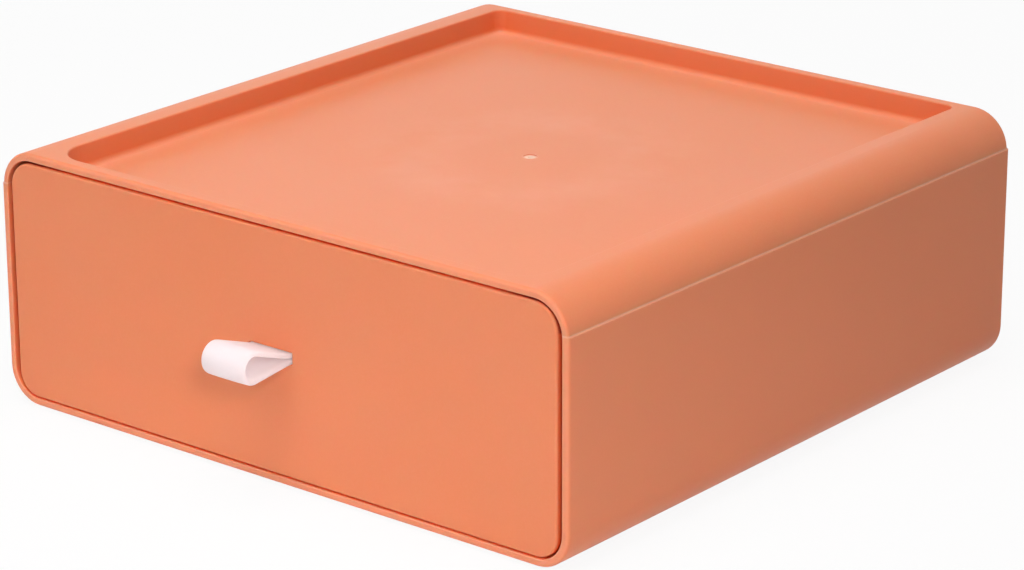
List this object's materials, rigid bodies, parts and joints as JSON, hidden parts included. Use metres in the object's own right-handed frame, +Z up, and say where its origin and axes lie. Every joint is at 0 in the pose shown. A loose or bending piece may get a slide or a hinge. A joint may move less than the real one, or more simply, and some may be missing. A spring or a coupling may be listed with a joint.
{
  "type": "desktop storage box with drawer",
  "caption": "Low square storage box of moulded plastic with a tray recess in its top and a full-width drawer opened by a folded strap pull.",
  "frame": {"origin": "middle of the whole outline seen from above, strap pull included, on the plane that the feet stand on", "axes": "+X to the box's right seen from the drawer front, +Y from the drawer front to the back, +Z up"},
  "size_m": [0.25, 0.275, 0.0935],
  "materials": {
    "case_plastic": "fine satin, moulded in colour",
    "drawer_plastic": "fine satin, moulded in colour",
    "strap_white": "smooth soft satin",
    "plate_plastic": "satin",
    "screw_steel": "zinc plated",
    "foot_rubber": "matte"
  },
  "bodies": {
    "case": {"case_body": "case_plastic", "top_cover": "case_plastic", "foot_front_left": "foot_rubber", "foot_front_right": "foot_rubber", "foot_rear_left": "foot_rubber", "foot_rear_right": "foot_rubber"},
    "drawer": {"drawer_tub": "drawer_plastic", "drawer_front": "drawer_plastic", "panel_screws": "screw_steel", "pull_strap": "strap_white", "strap_plate": "plate_plastic", "strap_screws": "screw_steel"}
  },
  "joints": [
    {"name": "drawer_slide", "type": "slide", "parent": "case", "child": "drawer", "axis": [0, -1, 0], "range_m": [0, 0.19]}
  ]
}
